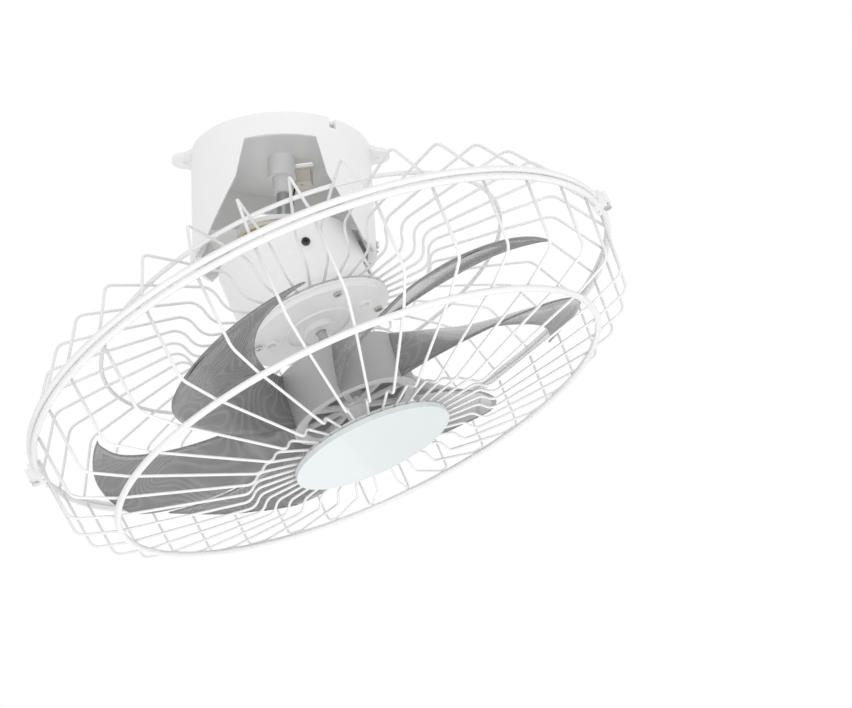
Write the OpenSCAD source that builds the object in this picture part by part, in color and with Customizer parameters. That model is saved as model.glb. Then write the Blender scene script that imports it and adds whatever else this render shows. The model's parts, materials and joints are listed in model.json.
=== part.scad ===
// Orbital ceiling fan. The origin is the centre of the canopy's ceiling face, +Z points up.
// The fan axis leans towards +X and crosses the vertical axis at the pivot point.

/* [Canopy] */
// Outer radius of the round canopy
canopy_r = 77.5; // [76.5:0.5:80]
// Depth from the ceiling to the legs' lower ends
leg_drop = 98.4; // [98:0.2:100]
// Wall thickness of the moulded parts
wall = 2.5; // [2:0.5:3]
// Direction of the ears and legs, turned from the fan's lean
mount_turn = 13; // [0:1:20]
// Distance between the two ceiling screw holes
ear_hole_span = 164; // [160:1:168]
// Diameter of the ceiling screw holes
ear_hole_d = 5.5; // [4:0.5:6.5]

/* [Head] */
// Lean of the fan axis from straight down, in degrees
tilt = 20.4; // [19.8:0.2:21]
// Outer radius of the motor drum
drum_r = 60; // [59.5:0.5:60.5]
// Outer radius of the upright gear case
case_r = 47.5; // [47:0.5:48]

/* [Guard] */
// Radius of the rear rim rod's centre line
rim_r = 250; // [246:1:254]
// Diameter of the rim rods
rim_rod_d = 5; // [4:0.5:5]
// Diameter of the radial wires
wire_d = 2.2; // [2:0.2:2.6]
// Number of radial wires in each guard
wire_n = 36; // [24:4:36]
// Radius of the badge
badge_r = 66; // [62:1:68]

/* [Propeller] */
// Number of blades
blade_n = 6; // [3:1:6]
// Tip radius of the blades
blade_tip_r = 212; // [190:1:214]
// Outer radius of the hub drum
hub_r = 54; // [53:0.5:54.5]

/* [Gears] */
// Teeth of the fixed gear on the spindle
fixed_teeth = 50; // [50:1:50]
// Teeth of the first worm wheel
first_wheel_teeth = 30; // [30:1:30]
// Teeth of the clutch wheel
clutch_wheel_teeth = 20; // [20:1:20]
// Teeth of the orbit pinion
pinion_teeth = 20; // [20:1:20]

/* [Hidden] */
$fn = 48;

skin = 0.05;             // overshoot of a cut
run_fit = 0.05;          // radial play of a turning shaft in its bush
far = 400;               // longer than anything that is cut

// heights, measured down from the ceiling
plate_t = 3;
dish_h = 20;
boss_r = 12;
boss_h = 22;
slot_l = 26;
slot_w = 7;
notch_w = 6.5;
notch_h = 9;
notch_turn = 317;
ear_r = ear_hole_span / 2 + 12;
ear_w = 24;
ear_t = 4;
window_top = 29;         // half width of a leg window at its top
window_mid = 37;         // half width where the leg starts to narrow
window_low = 65;         // half width at the legs' lower ends
window_mid_drop = 52;

web_top = 75;
web_t = 4;
web_low = web_top + web_t;
web_r = 42;
arm_w = 30;
gusset_t = 3;
gusset_gap = 10;         // half distance between a leg's two gussets
leg_in = canopy_r - wall;
bridge_screw_drop = 89;
bridge_screw_gap = 5;

spindle_r = 5.5;
spindle_bore = 3;
spindle_low = 110.6;
lock_nut_r = 8.8;
lock_nut_h = 15;
nut_top = 106.3;
nut_h = 4;
nut_r = 9;

contact_t = 3;
contact_r = 40;
contact_bore = 11;
ring_t = 0.6;
ring_w = 3;
ring_1 = 29;
ring_2 = 35;
brush_gap = 0.2;
lead_d = 1.8;
lead_gap = 6;
terminal_y = 28;
terminal_h = 13;

// gear case
pivot_drop = 92;
floor_top = 101.5;       // the gear case's roof, which carries the gear train
floor_t = 3;
floor_low = floor_top + floor_t;
case_low = 138;
rim_cut = 80.5;          // the drum's rear rim is cut level here
gear_top = 88;
gear_h = 8;
gear_m = 1;
worm_m = 0.7;
bush_r = 10;
bush_top = 97;

// along the fan axis, measured from the pivot point
rim_reach = 106;
hollow_turn = 102;  // keeps a round face's seam clear of what crosses it
drum_rear = 1.5;
drum_front = 69.5;
plate_gap = 1.5;         // thickness of the guard plate
shield_t = 4;
shield_front = drum_front + plate_gap + shield_t;
rear_shield_at = 40.5;
rear_shield_t = 2.5;
drum_in = drum_r - wall;
stator_at = 49;
stator_l = 16;
stator_r = 49.5;
stator_bore = 26.6;
rotor_r = 26.1;
coil_l = 5;
motor_r = 4;
stub_r = 2;
stub_end = 21.5;
screw_r = 1.6;
head_boss_r = 3.6;
boss_ring = 53.5;
boss_turns = [58.9, 161.8, 238.9, 341.8];
slot_turns = [16, -9.5, -36];
slot_at = 46.5;
slot_len = 20.5;
side_turn = 68;          // the screw that holds the capacitor
side_at = 27;
side_screw_l = 13;
lug_ring = 42;           // round lugs on the front shield
lug_turns = [3.8, 166.4, 286];
lug_r = 6.5;
collar_r = 14;
collar_h = 5;
brush_turn = -61.4;
brush_lead_x = 22 * cos(brush_turn);
brush_lead_y = -44;
frame_holes = [[-25, -12], [-25, 20], [1, 36]];
capacitor_x = 21;
capacitor_y = -42;
capacitor_size = [22, 36, 11.5];
capacitor_lug = [9, 6, 10];

// worm stages
worm_r = 3.5;            // pitch radius of both worms
worm_at = 28;
worm_l = 10;
wheel_r = first_wheel_teeth * worm_m / 2;
clutch_r = clutch_wheel_teeth * worm_m / 2;
mesh_1 = worm_r + wheel_r;
mesh_2 = worm_r + clutch_r;
wheel_x = worm_at * sin(tilt) - mesh_1 * cos(tilt);
wheel_z = -pivot_drop - worm_at * cos(tilt) - mesh_1 * sin(tilt);
fixed_r = fixed_teeth * gear_m / 2;
pinion_r = pinion_teeth * gear_m / 2;
pinion_x = wheel_x - mesh_2;
pinion_y = sqrt(pow(fixed_r + pinion_r, 2) - pow(pinion_x, 2));
cross_r = 2;
wheel_phase = tilt + 3.5;  // puts a gap of the first wheel on its worm's thread
clutch_phase = -5.7;     // the same for the clutch wheel
cross_y0 = -17;
cross_y1 = 44;
post_t = 4;
post_0 = -15;
post_1 = 40;
pin_r = 3;               // pinion shaft above the clutch wheel
pin_low_r = 2.5;
pin_low = 131;
frame_t = 2;

// guard profiles as radius and height over the rim plane
ring_d = 3.5;
front_ring_d = 5;
rear_z = -1.5;
front_z = 3.8;
plate_z = drum_front - rim_reach;
plate_r = 65;
rear_ring_r = 177;
rear_ring_z = -52.4;
rear_in_r = drum_r + 3.4;
rear_in_z = plate_z - wire_d / 2 + 0.05;
front_ring_r = 206;
front_ring_z = 66.9 + (wire_d + front_ring_d) / 2;
front_in_r = 58;
front_in_z = 79.8;
badge_z = 82;
badge_t = 3.3;
rear_path = [[rim_r - 2, rear_z], [223, -47], [181, -52], [112, -58], [105, rear_in_z], [drum_r + 1.6, rear_in_z]];
front_path = [[rim_r - 3.5, front_z], [239, 57], [207, 67], [105, 86], [98, 78],
              [50, badge_z - 0.85 - wire_d / 2]];
bend_r = 9;
clip_turns = [13, 167, 265];
clip_w = 16;

// propeller
hub_z0 = 8;
hub_z1 = 50;
hub_wall = 2.5;
knob_z = 58;
blade_t = 2.4;
// blade stations: radius, leading angle, leading height, trailing angle, trailing height
stations = [[0.2450, 140, 8, 152, 50], [0.354, 124, 14, 147, 50], [0.519, 113, 22, 141, 50],
            [0.708, 105, 25, 134, 49], [0.873, 97, 26, 127, 47], [0.967, 89, 26, 121, 45],
            [1, 85, 26, 117, 43]];

// ---------- frames ----------
module fan(s = 0) {
    translate([0, 0, -pivot_drop]) rotate([0, -tilt, 0]) rotate([180, 0, 0]) translate([0, 0, s]) children();
}
module tube(r_out, r_in, h) {
    difference() {
        cylinder(r = r_out, h = h);
        translate([0, 0, -skin]) cylinder(r = r_in, h = h + 2 * skin);
    }
}
module torus(r, d) {
    rotate_extrude() translate([r, 0]) circle(d = d, $fn = 24);
}

// ---------- swept wires ----------
function unit(v) = v / norm(v);
function turned(v) = [-v[1], v[0]];
// a corner of a path as a short arc of three points
function corner(a, b, c, r) =
    let(u = unit(a - b), w = unit(c - b), half = acos(u * w) / 2, t = r / tan(half), m = unit(u + w),
        o = b + m * (r / sin(half)))
    [b + u * t, o - m * r, b + w * t];
function rounded(p, r) =
    [p[0], for (i = [1:len(p) - 2]) each corner(p[i - 1], p[i], p[i + 1], r), p[len(p) - 1]];
function heading(p, i) =
    let(n = len(p) - 1, a = i == 0 ? unit(p[1] - p[0]) : unit(p[i] - p[i - 1]),
        b = i == n ? a : unit(p[i + 1] - p[i]), m = unit(turned(a) + turned(b)))
    m / (m * turned(a));
// a flat path in radius and height, swept with a six-sided section
module wire(p, d, sides = 6) {
    n = len(p);
    ring = [for (i = [0:n - 1], k = [0:sides - 1])
        let(m = heading(p, i), q = p[i] + m * (d / 2 * cos(k * 360 / sides)))
        [q[0], d / 2 * sin(k * 360 / sides), q[1]]];
    side = [for (i = [0:n - 2], k = [0:sides - 1])
        [i * sides + k, i * sides + (k + 1) % sides, (i + 1) * sides + (k + 1) % sides, (i + 1) * sides + k]];
    cap_0 = [for (k = [sides - 1:-1:0]) k];
    cap_1 = [for (k = [0:sides - 1]) (n - 1) * sides + k];
    polyhedron(ring, concat(side, [cap_0, cap_1]));
}
// a free path in space, swept with an even-sided section
function frame_at(p, i) =
    let(n = len(p) - 1, t = unit(p[min(i + 1, n)] - p[max(i - 1, 0)]),
        side = abs(t[1]) > 0.9 ? [1, 0, 0] : [0, 1, 0], u = unit(cross(side, t)))
    [u, cross(t, u)];
module lead(p, d, sides = 8) {
    n = len(p);
    ring = [for (i = [0:n - 1], k = [0:sides - 1])
        let(f = frame_at(p, i)) p[i] + (f[0] * cos(k * 360 / sides) + f[1] * sin(k * 360 / sides)) * d / 2];
    side = [for (i = [0:n - 2], k = [0:sides - 1])
        let(a = i * sides + k, b = i * sides + (k + 1) % sides)
        each [[a, a + sides, b + sides], [a, b + sides, b]]];
    cap_0 = [for (k = [0:sides - 1]) k];
    cap_1 = [for (k = [sides - 1:-1:0]) (n - 1) * sides + k];
    polyhedron(ring, concat(side, [cap_0, cap_1]));
}

// ---------- fixed to the ceiling ----------
module window_outline() {
    polygon([[-window_top, -dish_h], [window_top, -dish_h], [window_mid, -window_mid_drop],
             [window_low, -leg_drop - 1], [-window_low, -leg_drop - 1], [-window_mid, -window_mid_drop]]);
}
module ear() {
    translate([0, 0, -ear_t]) linear_extrude(ear_t) difference() {
        union() {
            translate([canopy_r - wall, -ear_w / 2]) square([ear_r - ear_w / 2 - canopy_r + wall, ear_w]);
            translate([ear_r - ear_w / 2, 0]) circle(d = ear_w);
            polygon([[canopy_r - 9, -ear_w], [ear_r - ear_w / 2, -ear_w / 2], [ear_r - ear_w / 2, ear_w / 2],
                     [canopy_r - 9, ear_w]]);
        }
        circle(r = canopy_r - wall / 2);
        translate([ear_hole_span / 2, 0]) circle(d = ear_hole_d);
    }
}
module canopy_shell() {
    difference() {
        translate([0, 0, -leg_drop]) cylinder(r = canopy_r, h = leg_drop);
        translate([0, 0, -leg_drop - skin]) cylinder(r = leg_in, h = leg_drop - plate_t + skin);
        rotate([90, 0, 0]) translate([0, 0, -far / 2]) linear_extrude(far) window_outline();
    }
}
module ceiling_bracket() color("whitesmoke") difference() {
    union() {
        rotate(mount_turn) {
            canopy_shell();
            ear();
            rotate(180) ear();
        }
        translate([0, 0, -boss_h]) cylinder(r = boss_r, h = boss_h - plate_t + skin);
    }
    translate([0, 0, -boss_h - skin]) cylinder(r = spindle_r, h = boss_h - plate_t);
    translate([0, 0, -plate_t - skin]) cylinder(r = spindle_bore, h = plate_t + 2 * skin);
    translate([slot_l / 2 - 2, boss_r + 1 + slot_w / 2, -plate_t - skin])
        linear_extrude(plate_t + 2 * skin) square([slot_l, slot_w], center = true);
    rotate(notch_turn) translate([canopy_r, 0, -notch_h / 2 + skin])
        cube([4 * wall, notch_w, notch_h], center = true);
    rotate(mount_turn) for (t = [0, 180], y = [-1, 1])
        rotate(t) translate([canopy_r - 2 * wall, y * bridge_screw_gap, -bridge_screw_drop])
            rotate([0, 90, 0]) cylinder(r = screw_r, h = 4 * wall);
}
// cross piece under the legs: a web, two arms, and gussets that stay outside the drum's sweep
module bridge() color("gainsboro") difference() {
    union() {
        translate([0, 0, -web_low]) rotate(hollow_turn) cylinder(r = web_r, h = web_t);
        rotate(mount_turn) intersection() {
            union() {
                translate([0, 0, -web_top - web_t / 2]) cube([2 * leg_in + 10, arm_w, web_t], center = true);
                for (t = [0, 180]) rotate(t) {
                    for (y = [-gusset_gap, gusset_gap]) translate([0, y + gusset_t / 2, 0]) rotate([90, 0, 0])
                        linear_extrude(gusset_t) polygon([[leg_in - 13.5, -web_low], [leg_in + 3, -web_low],
                            [leg_in + 3, -leg_drop], [leg_in - 5, -leg_drop]]);
                    translate([leg_in - 5, -gusset_gap, -leg_drop]) cube([10, 2 * gusset_gap, leg_drop - web_low]);
                }
            }
            translate([0, 0, -leg_drop]) cylinder(r = leg_in, h = leg_drop - web_top);
        }
    }
    translate([0, 0, -web_low - skin]) cylinder(r = spindle_r, h = web_t + 2 * skin);
    rotate(mount_turn) for (t = [0, 180], y = [-1, 1])
        rotate(t) translate([canopy_r - 12, y * bridge_screw_gap, -bridge_screw_drop])
            rotate([0, 90, 0]) cylinder(r = screw_r, h = 20);
    rotate(90) for (x = [-1, 1]) translate([(ring_1 + ring_2) / 2 + x * lead_gap / 2, 0, -web_low - skin])
        cylinder(d = lead_d, h = web_t + 2 * skin);
}
module bridge_screws() color("silver") rotate(mount_turn) for (t = [0, 180], y = [-1, 1])
    rotate(t) translate([0, y * bridge_screw_gap, -bridge_screw_drop]) rotate([0, 90, 0]) {
        translate([0, 0, canopy_r - 8]) cylinder(r = screw_r, h = 8.3);
        translate([0, 0, canopy_r]) cylinder(r = 2 * screw_r, h = 1.8);
    }
module spindle() color("silver") difference() {
    translate([0, 0, -spindle_low]) cylinder(r = spindle_r, h = spindle_low - plate_t);
    translate([0, 0, -spindle_low - skin]) cylinder(r = spindle_bore, h = spindle_low);
}
module spindle_lock_nut() color("gainsboro") difference() {
    union() {
        translate([0, 0, -boss_h - lock_nut_h]) cylinder(r = lock_nut_r - 0.6, h = lock_nut_h);
        for (i = [0:2]) translate([0, 0, -boss_h - lock_nut_h + 1.5 + 5 * i]) cylinder(r = lock_nut_r, h = 2.2);
    }
    translate([0, 0, -boss_h - lock_nut_h - skin]) cylinder(r = spindle_r, h = lock_nut_h + 2 * skin);
}
module spindle_washer() color("silver") translate([0, 0, -nut_top]) tube(10.5, spindle_r, 1.5);
module spindle_nut() color("silver") difference() {
    translate([0, 0, -nut_top - nut_h]) cylinder(r = nut_r, h = nut_h, $fn = 6);
    translate([0, 0, -nut_top - nut_h - skin]) cylinder(r = spindle_r, h = nut_h + 2 * skin);
}

// ---------- gears ----------
function inv(r, base) = let(a = acos(min(1, base / r))) tan(a) * 180 / PI - a;
// one flank of an involute tooth, as angle over radius, thinned by a little play
function flank(m, n, base, r, play) =
    90 / n - play / (m * n) * 90 / PI * 2 + inv(m * n / 2, base) - inv(r, base);
function gear_points(m, n, play = 0.06, steps = 3) =
    let(rp = m * n / 2, base = rp * cos(20), root = rp - 1.25 * m, low = max(base, root), tip = rp + 0.9 * m)
    [for (i = [0:n - 1]) each
        concat([let(t = i * 360 / n - flank(m, n, base, low, play)) root * [cos(t), sin(t)]],
               [for (k = [0:steps]) let(r = low + (tip - low) * k / steps,
                    t = i * 360 / n - flank(m, n, base, r, play)) r * [cos(t), sin(t)]],
               [for (k = [steps:-1:0]) let(r = low + (tip - low) * k / steps,
                    t = i * 360 / n + flank(m, n, base, r, play)) r * [cos(t), sin(t)]],
               [let(t = i * 360 / n + flank(m, n, base, low, play)) root * [cos(t), sin(t)]])];
// straight teeth of a worm wheel, blunt enough to clear the thread
module wheel_profile(m, n) {
    rp = m * n / 2;
    circle(r = rp - m);
    for (i = [0:n - 1]) rotate(i * 360 / n)
        polygon([[rp - 1.5 * m, -0.85 * m], [rp - m, -0.85 * m], [rp + 0.55 * m, -0.3 * m],
                 [rp + 0.55 * m, 0.3 * m], [rp - m, 0.85 * m], [rp - 1.5 * m, 0.85 * m]]);
}
// a right-hand worm as a lobed section that twists along its length
module worm(m, starts, length, points = 12) {
    depth = m;
    lead_turns = length / (PI * m * starts);
    linear_extrude(length, twist = -360 * lead_turns, slices = ceil(lead_turns * 9 * starts),
        center = true, segments = points)
        polygon([for (i = [0:points - 1]) let(a = i * 360 / points)
            (worm_r - 0.25 * m + depth * 0.9 * cos(starts * a)) * [cos(a), sin(a)]]);
}
fixed_phase = atan2(pinion_y, pinion_x);
module fixed_gear() color("ivory") {
    difference() {
        union() {
            translate([0, 0, -gear_top - gear_h]) linear_extrude(gear_h)
                rotate(fixed_phase) polygon(gear_points(gear_m, fixed_teeth));
            translate([0, 0, -gear_top]) cylinder(r = 9, h = 5);
        }
        translate([0, 0, -gear_top - gear_h - skin]) cylinder(r = spindle_r, h = gear_h + 5 + 2 * skin);
        for (t = [0:60:300]) rotate(t) translate([15.5, 0, -gear_top - gear_h - skin])
            cylinder(r = 4, h = gear_h + 2 * skin);
    }
}

// ---------- slip rings ----------
module contact_disc() color("wheat") difference() {
    translate([0, 0, -web_low - contact_t]) cylinder(r = contact_r, h = contact_t);
    translate([0, 0, -web_low - contact_t - skin]) cylinder(r = contact_bore, h = contact_t + 2 * skin);
    rotate(90) for (x = [-1, 1]) translate([(ring_1 + ring_2 + ring_w) / 2 + x * lead_gap / 2, 0,
        -web_low - contact_t - skin]) cylinder(d = lead_d, h = contact_t + 2 * skin);
}
module contact_rings() color("gold") for (r = [ring_1, ring_2])
    translate([0, 0, -web_low - contact_t - ring_t]) tube(r + ring_w, r, ring_t);
// the two leads run from the terminals to the rings, hanging in a slack bow beside the spindle
function bow(a, b, sag, n = 14) =
    [for (i = [0:n]) let(t = i / n) a + (b - a) * t + [0, sag * sin(180 * t), 0]];
module contact_leads() color("dimgray") for (x = [-1, 1]) {
    ring_x = (ring_1 + ring_2 + ring_w) / 2 + x * lead_gap / 2;
    low = [0, ring_x, -web_low - contact_t];
    up = [0, ring_x, -web_top + 3];
    top = [x * lead_gap / 2 + 3, terminal_y - 3, -plate_t - terminal_h + 0.5];
    lead(concat([low, up], bow(up + [0, 0, 4], top, -9)), lead_d - 0.1);
}
module terminal_block() color("ivory") difference() {
    translate([-14, terminal_y - 6, -plate_t - terminal_h]) cube([34, 12, terminal_h]);
    for (x = [-8, 0, 8]) translate([x + 3, terminal_y, -plate_t - terminal_h - skin]) cylinder(r = 1.5, h = 6);
}

// ---------- turning head ----------
module head_shape(grow, rear, front) {
    translate([0, 0, -case_low - grow]) cylinder(r = case_r + grow, h = case_low - floor_top + grow);
    intersection() {
        fan(rear) cylinder(r = drum_r + grow, h = front - rear);
        translate([0, 0, -far - rim_cut]) cylinder(r = far, h = far);
    }
}
module head_hollow() {
    intersection() {
        union() {
            translate([0, 0, -case_low + wall]) cylinder(r = case_r - wall, h = case_low);
            rotate_in_fan(hollow_turn) translate([0, 0, drum_rear + wall]) cylinder(r = drum_in, h = far);
            rotate_in_fan(hollow_turn) translate([0, 0, rear_shield_at - 0.5]) cylinder(r = drum_in + 0.2, h = far);
        }
        translate([0, 0, -far - floor_low]) cylinder(r = far, h = far);
    }
    intersection() {
        rotate_in_fan(hollow_turn) translate([0, 0, -far / 4]) cylinder(r = drum_in, h = far);
        translate([0, 0, -floor_top]) cylinder(r = far, h = far);
    }
}
module motor_housing() color("whitesmoke") difference() {
    union() {
        difference() {
            head_shape(0, drum_rear, drum_front);
            head_hollow();
        }
        translate([0, 0, -floor_low]) cylinder(r = bush_r + 2.5, h = floor_low - bush_top);
        // bosses for the front screws, and ribs that hold the stator
        intersection() {
            union() {
                for (t = boss_turns) rotate_in_fan(t) translate([boss_ring, 0, stator_at]) {
                    cylinder(r = head_boss_r, h = drum_front - stator_at - 0.5);
                    translate([0, -2.5, 0]) cube([drum_r - boss_ring - 1, 5, drum_front - stator_at - 0.5]);
                }
                for (t = [42:45:359]) rotate_in_fan(t) translate([stator_r, -1.5, stator_at])
                    cube([drum_in - stator_r + 1, 3, stator_l]);
                for (t = [0:45:359]) rotate_in_fan(t) translate([drum_in - 3.5, -4, rear_shield_at + rear_shield_t])
                    cube([4.5, 8, 3]);
            }
            fan(0) cylinder(r = drum_r - 0.5, h = far);
            union() {
                fan(0) tube(drum_r, stator_r, drum_front);
            }
        }
    }
    translate([0, 0, -floor_low - skin]) cylinder(r = bush_r, h = far);
    translate([pinion_x, pinion_y, -floor_low - skin]) cylinder(r = pin_r + run_fit, h = floor_t + 2 * skin);
    for (t = boss_turns) rotate_in_fan(t) translate([boss_ring, 0, stator_at + 6])
        cylinder(r = screw_r, h = far);
    for (t = slot_turns) rotate_in_fan(t) translate([drum_in - 2, -3.5, slot_at]) cube([8, 7, slot_len]);
    fan_side() cylinder(r = screw_r, h = 20, center = true);
    for (p = frame_holes) translate([p[0], p[1], -floor_low - skin]) cylinder(r = screw_r, h = far / 20);
    translate([brush_lead_x, brush_lead_y, -floor_low - skin]) cylinder(r = 2.2, h = floor_t + 2 * skin);
}
module rotate_in_fan(t) fan() rotate(t) children();
// the radial screw hole in the drum's side, its axis pointing inwards from the wall
module fan_side() rotate_in_fan(side_turn) translate([drum_r, 0, side_at]) rotate([0, 90, 0]) children();
module head_bush() color("peru") translate([0, 0, -floor_low]) difference() {
    union() {
        cylinder(r = bush_r, h = floor_low - bush_top);
    }
    translate([0, 0, -skin]) cylinder(r = spindle_r + run_fit, h = floor_low - bush_top + 2 * skin);
}
module brush_holder() color("black") difference() {
    intersection() {
        rotate(brush_turn) union() {
            translate([28, -6, -floor_top]) cube([11, 12, floor_top - 86]);
            translate([28, -6, -floor_top]) cube([40, 12, 7]);
        }
        fan(0) cylinder(r = drum_in, h = far / 4);
    }
    rotate(brush_turn) for (r = [ring_1, ring_2]) translate([r + ring_w / 2, 0, -floor_top + 2])
        cylinder(r = 1.25, h = 20);
}
module brushes() color("dimgray") rotate(brush_turn) for (r = [ring_1, ring_2])
    translate([r + ring_w / 2, 0, -90]) cylinder(r = 1.25, h = 90 - web_low - contact_t - ring_t - brush_gap);
module side_screws() color("black") fan_side() {
    translate([0, 0, -side_screw_l]) cylinder(r = screw_r, h = side_screw_l + 0.2);
    difference() {
        translate([0, 0, -0.1]) cylinder(r = 3.5, h = 2.1);
        translate([0, 0, 1.2]) cube([1, 5, 2], center = true);
        translate([0, 0, 1.2]) cube([5, 1, 2], center = true);
    }
}
// bracket under the case roof: two posts for the cross shaft and a foot for the pinion shaft
module gear_frame() color("silver") difference() {
    union() {
        for (y = [post_0, post_1]) translate([wheel_x - 6, y, wheel_z - 5])
            cube([12, post_t, -floor_low - wheel_z + 5]);
        translate([-30, post_0 - 2, -floor_low - frame_t]) cube([18, 50, frame_t]);
        translate([-30, post_0 - 2, -floor_low - frame_t]) cube([31, 6, frame_t]);
        translate([-20, post_1 - 10, -floor_low - frame_t]) cube([24, 14, frame_t]);
        translate([pinion_x - 5, post_1 - 14, -pin_low + 0.5]) cube([wheel_x - pinion_x + 8, 18, 2.5]);
    }
    translate([wheel_x, post_0 - skin, wheel_z]) rotate([-90, 0, 0]) cylinder(r = cross_r + run_fit, h = 80);
    translate([pinion_x, pinion_y, -pin_low - 5]) cylinder(r = pin_low_r + run_fit, h = 12);
    translate([pinion_x, pinion_y, -floor_low - frame_t - 1]) cylinder(r = pin_r + run_fit, h = 12);
    for (p = frame_holes) translate([p[0], p[1], -floor_low - frame_t - 1]) cylinder(r = screw_r, h = 12);
    // room for the spindle's washer and nut
    translate([0, 0, -floor_low - 20]) cylinder(r = 12, h = 30);
    fan(0) cylinder(r = 5.5, h = 60);
}
module gear_frame_screws() color("silver") for (p = frame_holes) translate([p[0], p[1], 0]) {
    translate([0, 0, -floor_low - frame_t]) cylinder(r = screw_r, h = frame_t + floor_t);
    translate([0, 0, -floor_low - frame_t - 1.8]) cylinder(r = 3, h = 1.8);
}
module capacitor() color("black") difference() {
    translate([capacitor_x, capacitor_y, -floor_low - capacitor_size[2]]) union() {
        cube(capacitor_size);
        translate([0, -capacitor_lug[1], 0.5]) cube(capacitor_lug + [0, 1, 0]);
    }
    fan_side() cylinder(r = screw_r, h = 2 * side_screw_l, center = true);
}
module head_leads() color("dimgray") {
    lead([for (t = [0:15:90]) [brush_lead_x + (capacitor_x + 0.5 - brush_lead_x) * (1 - cos(t)),
          brush_lead_y + (capacitor_y + 4 - brush_lead_y) * (1 - cos(t)), -floor_top + 1 - 8 * sin(t)]],
         lead_d);
}
module rear_shield() color("silver") difference() {
    union() {
        fan(rear_shield_at) cylinder(r = drum_in - 1, h = rear_shield_t);
        fan(rear_shield_at) cylinder(r = 9, h = 7);
    }
    fan(rear_shield_at - skin) cylinder(r = 6, h = 20);
}
module front_shield() color("whitesmoke") difference() {
    union() {
        fan(drum_front + plate_gap) cylinder(r = drum_r + 1, h = shield_t);
        fan(drum_front + plate_gap - 5) cylinder(r = 10, h = 6);
        fan(shield_front - skin) cylinder(r = collar_r, h = collar_h);
        fan(shield_front - skin) tube(30, 27.5, 1.6);
        for (t = lug_turns) rotate_in_fan(t) translate([lug_ring, 0, shield_front - skin])
            cylinder(r = lug_r, h = 1.4);
    }
    fan(0) cylinder(r = 6, h = shield_front);
    fan(0) cylinder(r = motor_r + 0.6, h = far);
    for (t = boss_turns) rotate_in_fan(t) translate([boss_ring, 0, drum_front]) cylinder(r = screw_r, h = far);
    for (t = lug_turns) rotate_in_fan(t) translate([lug_ring, 0, shield_front - 1.5]) cylinder(r = lug_r - 2, h = 9);
}
module shield_screws() color("silver") for (t = boss_turns) rotate_in_fan(t) translate([boss_ring, 0, 0]) {
    translate([0, 0, shield_front - 14]) cylinder(r = screw_r, h = 14);
    difference() {
        translate([0, 0, shield_front]) cylinder(r = 3.6, h = 2.2);
        translate([0, 0, shield_front + 2]) cube([5.5, 0.9, 2], center = true);
        translate([0, 0, shield_front + 2]) cube([0.9, 5.5, 2], center = true);
    }
}
module motor_bushes() color("peru") {
    fan(rear_shield_at) tube(6, motor_r + run_fit, 7);
    fan(drum_front + plate_gap - 5) tube(6, motor_r + run_fit, 5 + shield_t);
}
module stator_core() color("dimgray") fan(stator_at) difference() {
    cylinder(r = stator_r, h = stator_l);
    translate([0, 0, -skin]) cylinder(r = stator_bore, h = stator_l + 2 * skin);
    for (t = [0:30:359]) rotate(t) translate([33, 0, -skin]) cylinder(r = 3.2, h = stator_l + 2 * skin);
}
module stator_windings() color("chocolate") {
    fan(stator_at - coil_l) tube(44, 28, coil_l);
    fan(stator_at + stator_l) tube(44, 28, coil_l - 0.2);
    for (t = [0:30:359]) rotate_in_fan(t) translate([33, 0, stator_at]) cylinder(r = 3.2, h = stator_l);
}

// ---------- guard ----------
module in_rim_plane() fan(rim_reach) children();
module guard_plate() color("whitesmoke") in_rim_plane() difference() {
    translate([0, 0, plate_z]) cylinder(r = plate_r, h = plate_gap);
    translate([0, 0, plate_z - skin]) cylinder(r = 50, h = plate_gap + 2 * skin);
    for (t = boss_turns) rotate(t) translate([boss_ring, 0, plate_z - skin])
        cylinder(r = screw_r, h = plate_gap + 2 * skin);
}
module rear_guard_wires() color("gainsboro") in_rim_plane()
    for (i = [0:wire_n - 1]) rotate(i * 360 / wire_n) wire(rounded(rear_path, bend_r), wire_d);
module rear_guard_rings() color("gainsboro") in_rim_plane() {
    translate([0, 0, rear_z]) torus(rim_r, rim_rod_d);
    translate([0, 0, rear_ring_z - (wire_d + ring_d) / 2 + 0.4]) torus(rear_ring_r, ring_d);
    translate([0, 0, rear_in_z - (wire_d + ring_d) / 2 + 0.3]) torus(rear_in_r, ring_d);
}
module front_guard_wires() color("gainsboro") in_rim_plane()
    for (i = [0:wire_n - 1]) rotate(i * 360 / wire_n) wire(rounded(front_path, bend_r), wire_d);
module front_guard_rings() color("gainsboro") in_rim_plane() {
    translate([0, 0, front_z]) torus(rim_r - 1.5, rim_rod_d);
    translate([0, 0, front_ring_z]) torus(front_ring_r, front_ring_d);
    translate([0, 0, front_in_z - (wire_d + ring_d) / 2 + 0.3]) torus(front_in_r, ring_d);
}
module badge_plate() color("silver") in_rim_plane() translate([0, 0, badge_z - 1]) cylinder(r = badge_r - 4, h = 1);
module badge() color("lightsteelblue") in_rim_plane() difference() {
    translate([0, 0, badge_z - 1]) cylinder(r = badge_r, h = badge_t + 1);
    translate([0, 0, badge_z - 1 - skin]) cylinder(r = badge_r - 4, h = 1 + skin);
}
module rim_clips() color("whitesmoke") in_rim_plane() for (t = clip_turns) rotate(t) difference() {
    union() {
        translate([rim_r - 0.5, 0, (rear_z + front_z) / 2]) cube([11, clip_w, 14], center = true);
        translate([rim_r + 4, 0, 1]) cube([8, 9, 9], center = true);
    }
    translate([0, 0, rear_z]) rotate(-t) torus(rim_r, rim_rod_d);
    translate([0, 0, front_z]) rotate(-t) torus(rim_r - 1.5, rim_rod_d);
    translate([rim_r - 7, 0, (rear_z + front_z) / 2]) cube([9, wire_d + 1.5, 20], center = true);
    translate([rim_r + 4, 0, -10]) cylinder(r = screw_r, h = 30);
}
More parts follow.
